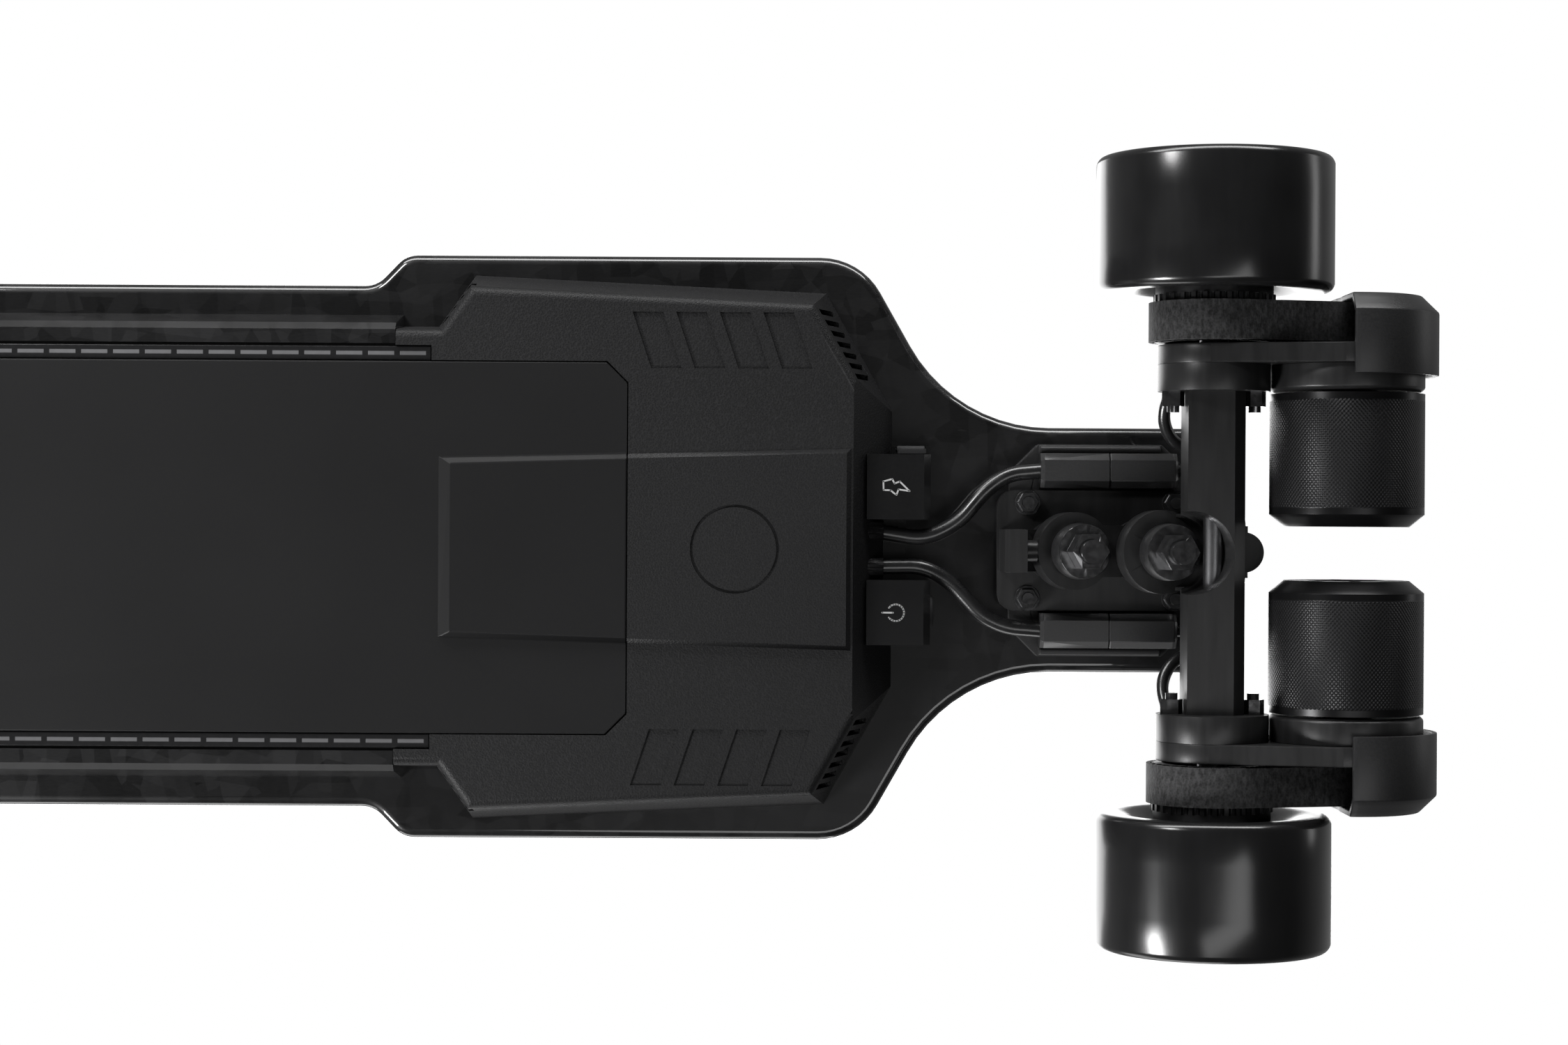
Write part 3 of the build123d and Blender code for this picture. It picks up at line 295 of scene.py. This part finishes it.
heat_sink = Finish("heat_sink", Metallic=0.9)
cast = heat_sink.noise(700.0, 3.0)
heat_sink.colour(cast, (0.05, 0.05, 0.052), (0.12, 0.12, 0.125))
heat_sink.rough(heat_sink.between(cast, 0.45, 0.65))
heat_sink.bump(cast, 0.00015, 0.6)
dress(heat_sink, "motor_controller")


# ---------------------------------------------------------------- port block
# The block behind the rear cover is glossy moulded plastic. It holds the charging socket under a rubber flap
# and a rubber power button, and it has a plain charging mark and a plain power mark on its lower face.

port_gloss = Finish("port_gloss", Coat_Weight=0.4, Coat_Roughness=0.2, Specular_IOR_Level=0.4)
dust = port_gloss.noise(900.0, 4.0)
port_gloss.colour(dust, (0.0025, 0.0025, 0.0026), (0.007, 0.007, 0.0073))
port_gloss.rough(port_gloss.between(port_gloss.noise(24.0, 3.0), 0.14, 0.3))
dress(port_gloss, "port_block", edge=0.0018)
dress(port_gloss, "charge_socket")

flap_rubber = Finish("flap_rubber", Specular_IOR_Level=0.3)
flap_grain = flap_rubber.noise(1600.0, 3.0)
flap_rubber.colour(flap_grain, (0.009, 0.009, 0.0095), (0.022, 0.022, 0.023))
flap_rubber.rough(flap_rubber.between(flap_grain, 0.55, 0.8))
flap_rubber.bump(flap_grain, 0.00008, 0.6)
dress(flap_rubber, "charge_flap", "power_button", edge=0.0005)

mark_ink = Finish("mark_ink")
mark_ink.colour(mark_ink.noise(800.0), (0.28, 0.28, 0.28), (0.42, 0.42, 0.42))
mark_ink.rough(mark_ink.between(mark_ink.noise(500.0), 0.4, 0.55))

mark_x = -0.3237
mark_y = 0.027
mark_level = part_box("port_block")[0].z
line_thickness = 0.00016
line_sink = 0.00006


def mark_line(points, closed=False, width=0.0007):
    """A raised flat line with round joins on the block's lower face, from points in its plane."""
    mesh = bmesh.new()
    for point in points:
        dot = bmesh.ops.create_cone(mesh, cap_ends=True, segments=20, radius1=width / 2, radius2=width / 2,
                                    depth=line_thickness)["verts"]
        bmesh.ops.translate(mesh, vec=(*point, 0), verts=dot)
    count = len(points)
    for i in range(count if closed else count - 1):
        start = Vector((*points[i], 0))
        end = Vector((*points[(i + 1) % count], 0))
        middle = (start + end) / 2
        along = (end - start).normalized()
        bar = bmesh.ops.create_cube(mesh, size=1.0)["verts"]
        turn = Matrix.Rotation(math.atan2(along.y, along.x), 4, "Z")
        bmesh.ops.scale(mesh, vec=((end - start).length, width, line_thickness), verts=bar)
        bmesh.ops.transform(mesh, matrix=Matrix.Translation(middle) @ turn, verts=bar)
    bmesh.ops.translate(mesh, vec=(0, 0, mark_level - line_sink), verts=mesh.verts)
    return mesh


bolt = [(-0.0056, 0.0023), (-0.0018, 0.0033), (-0.0008, 0.0014), (0.0014, 0.0023), (0.0056, -0.0018),
        (0.0009, -0.0011), (0.0000, -0.0035), (-0.0026, -0.0015), (-0.0055, -0.0014)]
bolt_points = [(mark_x - x, mark_y + y) for x, y in bolt]
keep(mark_line(bolt_points, closed=True), "charge_mark", mark_ink, "board")
ring_radius = 0.0036
ring_angles = [math.radians(36 + i * 18) for i in range(17)]
ring_points = [(mark_x + ring_radius * math.cos(a), -mark_y + ring_radius * math.sin(a)) for a in ring_angles]
keep(mark_line(ring_points), "power_mark_ring", mark_ink, "board")
stem_points = [(mark_x + 0.0012, -mark_y), (mark_x + 0.0058, -mark_y)]
keep(mark_line(stem_points), "power_mark_line", mark_ink, "board")


# ---------------------------------------------------------------- connectors and controller leads
# Two thick sheathed cables run from the rear cover to faceted connector shells beside the truck. Each shell
# is a socket and a plug of satin plastic that meet in the middle.

connector = Finish("connector_shell", Specular_IOR_Level=0.5, Coat_Weight=0.25, Coat_Roughness=0.2)
shell_grain = connector.noise(1100.0, 3.0)
connector.colour(shell_grain, (0.008, 0.008, 0.0083), (0.02, 0.02, 0.0207))
connector.rough(connector.between(shell_grain, 0.3, 0.46))
connector.bump(shell_grain, 0.00006, 0.5)
dress(connector, "lead_sockets", "lead_plugs", edge=0.0006)

sheath = Finish("lead_sheath", Coat_Weight=0.3, Coat_Roughness=0.24)
sheath_wave = sheath.noise(160.0, 2.0)
sheath.colour(sheath_wave, (0.004, 0.004, 0.0042), (0.011, 0.011, 0.0115))
sheath.rough(sheath.between(sheath_wave, 0.2, 0.36))
sheath.bump(sheath_wave, 0.00004, 0.3)
dress(sheath, "left_controller_lead", "right_controller_lead")


# ---------------------------------------------------------------- motor leads
# Each motor's lead leaves its plug, curls down behind the hanger's beam and goes into the hanger's flange.
# The real lead flexes as the truck tilts; here it is cut into two lengths that meet beside the linkage,
# neither on a body.

lead_radius = 0.0026
motor_route = [(-0.44555, 0.0345, 0.112), (-0.45655, 0.0345, 0.112), (-0.46555, 0.0355, 0.106),
               (-0.46885, 0.037, 0.0955), (-0.46505, 0.0385, 0.0855), (-0.45605, 0.040, 0.079),
               (-0.44555, 0.042, 0.076), (-0.43705, 0.047, 0.073), (-0.43305, 0.056, 0.069),
               (-0.43505, 0.0655, 0.0645), (-0.43805, 0.073, 0.060)]
for side, sign in (("left", 1), ("right", -1)):
    route = [Vector((x, sign * y, z)) for x, y, z in motor_route]
    line = bpy.data.curves.new(f"{side}_lead_line", "CURVE")
    line.dimensions = "3D"
    line.resolution_u = 12
    line.bevel_depth = lead_radius
    line.bevel_resolution = 5
    spline = line.splines.new("NURBS")
    spline.points.add(len(route) - 1)
    for point, place in zip(spline.points, route):
        point.co = (*place, 1.0)
    spline.order_u = 3
    spline.use_endpoint_u = True
    drawn = bpy.data.objects.new(f"{side}_lead_drawn", line)
    bpy.context.scene.collection.objects.link(drawn)
    bpy.context.view_layer.update()
    tube = bpy.data.meshes.new_from_object(drawn.evaluated_get(bpy.context.evaluated_depsgraph_get()))
    bpy.data.objects.remove(drawn)
    middle = (route[4] + route[5]) / 2
    direction = (route[5] - route[4]).normalized()
    for half, bodies, ends in (("upper", ("board", "rear_linkage"), (route[0], middle)),
                               ("lower", ("rear_linkage", "rear_hanger"), (middle, route[-1]))):
        mesh = bmesh.new()
        mesh.from_mesh(tube)
        bmesh.ops.bisect_plane(mesh, geom=mesh.verts[:] + mesh.edges[:] + mesh.faces[:], plane_co=middle,
                               plane_no=direction, clear_outer=half == "upper", clear_inner=half == "lower")
        piece = keep(mesh, f"{side}_motor_lead_{half}", sheath, None)
        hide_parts(f"{side}_motor_lead")
        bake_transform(piece)


# ---------------------------------------------------------------- trucks
# The risers are moulded. The base plates, linkages and hangers are machined from aluminium and anodised satin
# black. Nuts, washers and kingpins are steel with a glossy black oxide, and the axles are zinc plated.

riser = Finish("riser_plastic", Specular_IOR_Level=0.4)
riser_grain = riser.noise(1400.0, 3.0)
riser.colour(riser_grain, (0.009, 0.009, 0.0093), (0.02, 0.02, 0.0207))
riser.rough(riser.between(riser_grain, 0.4, 0.58))
riser.bump(riser_grain, 0.00008, 0.5)
dress(riser, "truck_risers", edge=0.0006)

anodised = Finish("black_anodised", Metallic=0.25, Specular_IOR_Level=0.35)
machining = anodised.noise(260.0, 3.0, anodised.place((1.0, 0.12, 1.0)))
anodised.colour(machining, (0.009, 0.009, 0.0092), (0.024, 0.024, 0.0245))
anodised.rough(anodised.between(machining, 0.3, 0.44))
anodised.bump(anodised.noise(1500.0, 2.0), 0.00004, 0.5)
dress(anodised, "base_plates", "front_linkage", "rear_linkage", "front_hanger", "rear_hanger", edge=0.0005)

oxide = Finish("black_oxide_steel", Metallic=0.9)
oxide_wear = oxide.noise(340.0, 4.0)
oxide.colour(oxide_wear, (0.05, 0.05, 0.0515), (0.19, 0.19, 0.194))
oxide.rough(oxide.between(oxide_wear, 0.1, 0.25))
oxide.bump(oxide.noise(900.0, 2.0), 0.00004, 0.4)
dress(oxide, "truck_bolts", "truck_nuts", "inner_kingpins", "inner_kingpin_nuts", "front_outer_kingpin",
      "rear_outer_kingpin", "mount_bolts", edge=0.0003)

zinc = Finish("zinc_axle", Metallic=1.0)
zinc_turning = zinc.noise(900.0, 2.0, zinc.place((1.0, 9.0, 1.0)))
zinc.colour(zinc_turning, (0.16, 0.16, 0.165), (0.3, 0.3, 0.31))
zinc.rough(zinc.between(zinc_turning, 0.25, 0.4))
dress(zinc, "front_axle", "rear_axle", edge=0.0003)


# ---------------------------------------------------------------- bushings
# Each kingpin carries a urethane bushing on either side of the ring that it steers, squeezed by a cup washer
# and a nut. They are cast barrels that bulge in the middle. The real ones flex as the truck tilts; here each
# is one piece on no body.

urethane = Finish("bushing_urethane", Specular_IOR_Level=0.45)
urethane_grain = urethane.noise(700.0, 3.0)
urethane.colour(urethane_grain, (0.006, 0.006, 0.0065), (0.015, 0.015, 0.0155))
urethane.rough(urethane.between(urethane_grain, 0.3, 0.45))

lean = math.radians(13.0)
board_shift = 0.02145
bore_radius = 0.0053
rim_radius = 0.0118
bulge_radius = 0.0120
lip = 0.0006
for end, way in (("front", 1), ("rear", -1)):
    kingpin = Vector((way * math.sin(lean), 0, -math.cos(lean)))
    upright = kingpin.to_track_quat("Z", "Y").to_matrix().to_4x4()
    for level, centre, bodies in (
        ("inner", Vector((way * 0.4195 + board_shift, 0, 0.094)), ("board", f"{end}_linkage")),
        ("outer", Vector((way * 0.4542 + board_shift, 0, 0.073)), (f"{end}_linkage", f"{end}_hanger")),
    ):
        for part, fixed, ring in (("upper", -0.0175, -0.005), ("lower", 0.016, 0.005)):
            length = abs(fixed - ring)
            taper = 0.12 * length
            low, high = min(fixed, ring), max(fixed, ring)
            lip_radius = bulge_radius - taper * 0.9
            section = [(bore_radius, low), (rim_radius - taper, low), (lip_radius, low + lip)]
            middle = (low + high) / 2
            section += [(bulge_radius - taper * 0.9 * abs(t) ** 2.2, middle + t * (length / 2 - lip))
                        for t in (-0.8, -0.55, -0.3, 0.0, 0.3, 0.55, 0.8)]
            section += [(lip_radius, high - lip), (rim_radius - taper, high), (bore_radius, high)]
            mesh = bmesh.new()
            rim = [mesh.verts.new((radius, 0, height)) for radius, height in section]
            edges = [mesh.edges.new((a, b)) for a, b in zip(rim, rim[1:] + rim[:1])]
            bmesh.ops.spin(mesh, geom=rim + edges, cent=(0, 0, 0), axis=(0, 0, 1), dvec=(0, 0, 0),
                           angle=math.tau, steps=56, use_merge=True, use_duplicate=False)
            bmesh.ops.transform(mesh, verts=mesh.verts, matrix=Matrix.Translation(centre) @ upright)
            piece = keep(mesh, f"{end}_{level}_bushing_{part}", urethane, None)
            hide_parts(f"{end}_{level}_bushings")
            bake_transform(piece)


# ---------------------------------------------------------------- tyres
# The tyres are cast urethane on plastic cores. Their tread is a plain glossy band with tight shoulders, and
# the sides dish in towards the core. Steel bearings sit in both sides of each core.

tyre_rubber = Finish("tyre_urethane", Specular_IOR_Level=0.5)
scuff = tyre_rubber.noise(46.0, 5.0)
fine = tyre_rubber.noise(900.0, 3.0)
drag = tyre_rubber.noise(150.0, 4.0, tyre_rubber.place((1.0, 0.16, 1.0)))
tyre_rubber.colour(scuff * 0.6 + drag * 0.4, (0.0035, 0.0035, 0.0037), (0.0105, 0.0105, 0.0108))
tyre_rubber.rough(tyre_rubber.between(drag * 0.7 + scuff * 0.3, 0.17, 0.27))
tyre_rubber.bump(drag * 0.7 + fine * 0.3, 0.00005, 0.5)

for end in ("front", "rear"):
    for side, sign in (("left", 1), ("right", -1)):
        low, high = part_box(f"{end}_{side}_tyre")
        hub = (low + high) / 2
        half = (high.y - low.y) / 2
        radius = (high.z - low.z) / 2
        outer_half = [(0.0270, half - 0.0098), (0.0272, half - 0.0062), (0.0290, half - 0.0046),
                      (0.0320, half - 0.0026), (0.0355, half - 0.0008), (0.0378, half - 0.0002),
                      (0.0405, half), (0.0452, half), (0.0461, half - 0.0002), (0.0469, half - 0.0006),
                      (0.0476, half - 0.0013), (0.0481, half - 0.0021), (radius, half - 0.0032),
                      (radius, half * 0.4)]
        section = outer_half + [(r, -y) for r, y in reversed(outer_half)]
        mesh = bmesh.new()
        rim = [mesh.verts.new((r, y, 0)) for r, y in section]
        edges = [mesh.edges.new((a, b)) for a, b in zip(rim, rim[1:] + rim[:1])]
        bmesh.ops.spin(mesh, geom=rim + edges, cent=(0, 0, 0), axis=(0, 1, 0), dvec=(0, 0, 0), angle=math.tau,
                       steps=144, use_merge=True, use_duplicate=False)
        bmesh.ops.translate(mesh, vec=hub, verts=mesh.verts)
        tyre = keep(mesh, f"{end}_{side}_tread", tyre_rubber, f"{end}_{side}_wheel")
        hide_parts(f"{end}_{side}_tyre")

core_plastic = Finish("core_plastic", Specular_IOR_Level=0.45)
core_grain = core_plastic.noise(900.0, 3.0)
core_plastic.colour(core_grain, (0.008, 0.008, 0.0085), (0.02, 0.02, 0.021))
core_plastic.rough(core_plastic.between(core_grain, 0.34, 0.5))
dress(core_plastic, "front_left_core", "front_right_core", "rear_left_core", "rear_right_core", edge=0.0004)

race = Finish("bearing_race", Metallic=1.0)
race.colour(race.noise(600.0), (0.28, 0.28, 0.29), (0.45, 0.45, 0.46))
race.rough(race.between(race.noise(400.0), 0.14, 0.28))
dress(race, "front_left_bearings", "front_right_bearings", "rear_left_bearings", "rear_right_bearings")


# ---------------------------------------------------------------- belt drive
# Machined pulleys are joined by a toothed rubber belt with a fibrous fabric back. A moulded guard covers the
# motor pulley, and a thick anodised plate clamped on the hanger carries the motor.

pulley_metal = Finish("pulley_metal", Metallic=0.7)
pulley_turning = pulley_metal.noise(500.0, 3.0)
pulley_metal.colour(pulley_turning, (0.01, 0.01, 0.0105), (0.026, 0.026, 0.027))
pulley_metal.rough(pulley_metal.between(pulley_turning, 0.3, 0.45))
dress(pulley_metal, "rear_left_pulley", "rear_right_pulley", "left_motor_pulley", "right_motor_pulley")

belt_fabric = Finish("belt_fabric", Specular_IOR_Level=0.25, Sheen_Weight=0.15)
fuzz = belt_fabric.noise(620.0, 6.0, belt_fabric.place((1.0, 0.5, 1.0)))
weave = belt_fabric.grains(1100.0)
nap = belt_fabric.window(fuzz * 0.8 + weave * 0.2, 0.36, 0.66)
belt_fabric.colour(nap, (0.003, 0.003, 0.0032), (0.034, 0.034, 0.035))
belt_fabric.rough(belt_fabric.between(fuzz, 0.7, 0.95))
belt_fabric.bump(fuzz, 0.0004, 0.9)
dress(belt_fabric, "drive_belts")

guard_plastic = Finish("guard_plastic", Specular_IOR_Level=0.4)
guard_grain = guard_plastic.noise(1200.0, 3.0)
guard_plastic.colour(guard_grain, (0.006, 0.006, 0.0065), (0.016, 0.016, 0.0165))
guard_plastic.rough(guard_plastic.between(guard_grain, 0.36, 0.5))
guard_plastic.bump(guard_grain, 0.00006, 0.5)
dress(guard_plastic, "belt_guards", edge=0.0005)
dress(anodised, "motor_mounts", "motor_stators", edge=0.0005)


# ---------------------------------------------------------------- motors
# Each motor can is turned aluminium, anodised black. A fine diamond knurl runs round the can between two
# plain bands, and the inner end is chamfered.

knurl_count = 118
knurl_pitch = 0.00185
knurl_start = 0.0185
knurl_end = 0.0625
knurl_fade = 0.0007
knurl_radius = 0.0306
can_metal = Finish("motor_can", Metallic=0.5, Specular_IOR_Level=0.25)
motor_low, motor_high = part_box("left_rotor")
side_x = can_metal.along(0) - (motor_low.x + motor_high.x) / 2
side_z = can_metal.along(2) - (motor_low.z + motor_high.z) / 2
turn = side_x.maths("ARCTAN2", side_z, side_x)
reach = side_x.maths("SQRT", side_x * side_x + side_z * side_z)
length = abs(can_metal.along(1))
diagonal = turn * (knurl_count / math.tau)
step = length / knurl_pitch
rise = abs(turn.maths("FRACT", diagonal + step) - 0.5)
fall = abs(turn.maths("FRACT", diagonal - step) - 0.5)
knurl_band = (can_metal.window(length, knurl_start, knurl_start + knurl_fade)
              * can_metal.window(length, knurl_end - knurl_fade, knurl_end, 1.0, 0.0))
knurl = (rise + fall) * (knurl_band * (reach > knurl_radius))
can_metal.colour(knurl * 0.8 + can_metal.noise(500.0) * 0.2, (0.006, 0.006, 0.0063), (0.021, 0.021, 0.022))
can_metal.rough(can_metal.between(knurl, 0.3, 0.48))
can_metal.bump(knurl, 0.0003, 0.9)
dress(can_metal, "left_rotor", "right_rotor", edge=0.0005)


# ---------------------------------------------------------------- floor, backdrop and lights
# A pale floor lies under the wheels and is seen only from above. A long soft box stands on the board's left
# side, which is the top of the view. Smaller ones pick out the trucks and fill from the other sides.

floor_paint = bpy.data.materials.new("floor")
floor_paint.use_nodes = True
nodes = floor_paint.node_tree.nodes
links = floor_paint.node_tree.links
nodes["Principled BSDF"].inputs["Base Color"].default_value = (0.86, 0.86, 0.86, 1)
nodes["Principled BSDF"].inputs["Roughness"].default_value = 0.9
nodes["Principled BSDF"].inputs["Emission Color"].default_value = (1, 1, 1, 1)
nodes["Principled BSDF"].inputs["Emission Strength"].default_value = 0.35
facing = nodes.new("ShaderNodeNewGeometry")
clear = nodes.new("ShaderNodeBsdfTransparent")
choice = nodes.new("ShaderNodeMixShader")
links.new(facing.outputs["Backfacing"], choice.inputs[0])
links.new(nodes["Principled BSDF"].outputs[0], choice.inputs[1])
links.new(clear.outputs[0], choice.inputs[2])
links.new(choice.outputs[0], nodes["Material Output"].inputs["Surface"])
mesh = bmesh.new()
bmesh.ops.create_circle(mesh, cap_ends=True, segments=96, radius=7.0)
data = bpy.data.meshes.new("floor")
mesh.to_mesh(data)
mesh.free()
data.materials.append(floor_paint)
floor = bpy.data.objects.new("floor", data)
bpy.context.scene.collection.objects.link(floor)
for kind in ("diffuse", "glossy", "transmission", "shadow", "volume_scatter"):
    setattr(floor, f"visible_{kind}", False)

for name, place, aim, size, power in (
    ("key", (-0.25, 1.15, -0.22), (-0.25, 0.0, 0.08), (1.9, 0.35), 26.0),
    ("low_nose", (0.75, -0.7, -0.55), (-0.42, 0.0, 0.08), (0.4, 0.3), 24.0),
    ("high_nose", (0.5, 0.75, -0.7), (-0.42, 0.0, 0.08), (0.25, 0.25), 8.0),
    ("overhead", (0.1, -0.2, 1.7), (0.0, 0.0, 0.1), (2.2, 1.4), 36.0),
    ("under", (-0.62, -0.5, -1.3), (-0.4, -0.05, 0.08), (1.2, 0.4), 4.5),
    ("tail_side", (-1.7, 0.3, 0.3), (-0.4, 0.0, 0.08), (0.8, 0.2), 1.2),
    ("right_side", (0.2, -1.8, 0.7), (0.0, 0.0, 0.08), (1.8, 0.8), 14.0),
):
    light = bpy.data.lights.new(name, "AREA")
    light.shape = "RECTANGLE"
    light.size, light.size_y = size
    light.energy = power
    lamp = bpy.data.objects.new(name, light)
    lamp.location = place
    lamp.rotation_euler = (Vector(aim) - Vector(place)).to_track_quat("-Z", "Y").to_euler()
    bpy.context.scene.collection.objects.link(lamp)
    lamp.visible_camera = False

world = bpy.data.worlds.new("studio")
world.use_nodes = True
bpy.context.scene.world = world
nodes = world.node_tree.nodes
links = world.node_tree.links
background = nodes["Background"]
seen = nodes.new("ShaderNodeBackground")
seen.inputs[0].default_value = (1.0, 1.0, 1.0, 1)
seen.inputs[1].default_value = 1.0
sky = nodes.new("ShaderNodeTexCoord")
split = nodes.new("ShaderNodeSeparateXYZ")
links.new(sky.outputs["Generated"], split.inputs[0])
fade = nodes.new("ShaderNodeMapRange")
fade.inputs["From Min"].default_value = -0.15
fade.inputs["From Max"].default_value = 0.7
fade.inputs["To Min"].default_value = 0.05
fade.inputs["To Max"].default_value = 0.28
links.new(split.outputs[2], fade.inputs["Value"])
links.new(fade.outputs[0], background.inputs[1])
background.inputs[0].default_value = (1.0, 1.0, 1.0, 1)
path = nodes.new("ShaderNodeLightPath")
shown = nodes.new("ShaderNodeMixShader")
links.new(path.outputs["Is Camera Ray"], shown.inputs[0])
links.new(background.outputs[0], shown.inputs[1])
links.new(seen.outputs[0], shown.inputs[2])
links.new(shown.outputs[0], nodes["World Output"].inputs["Surface"])
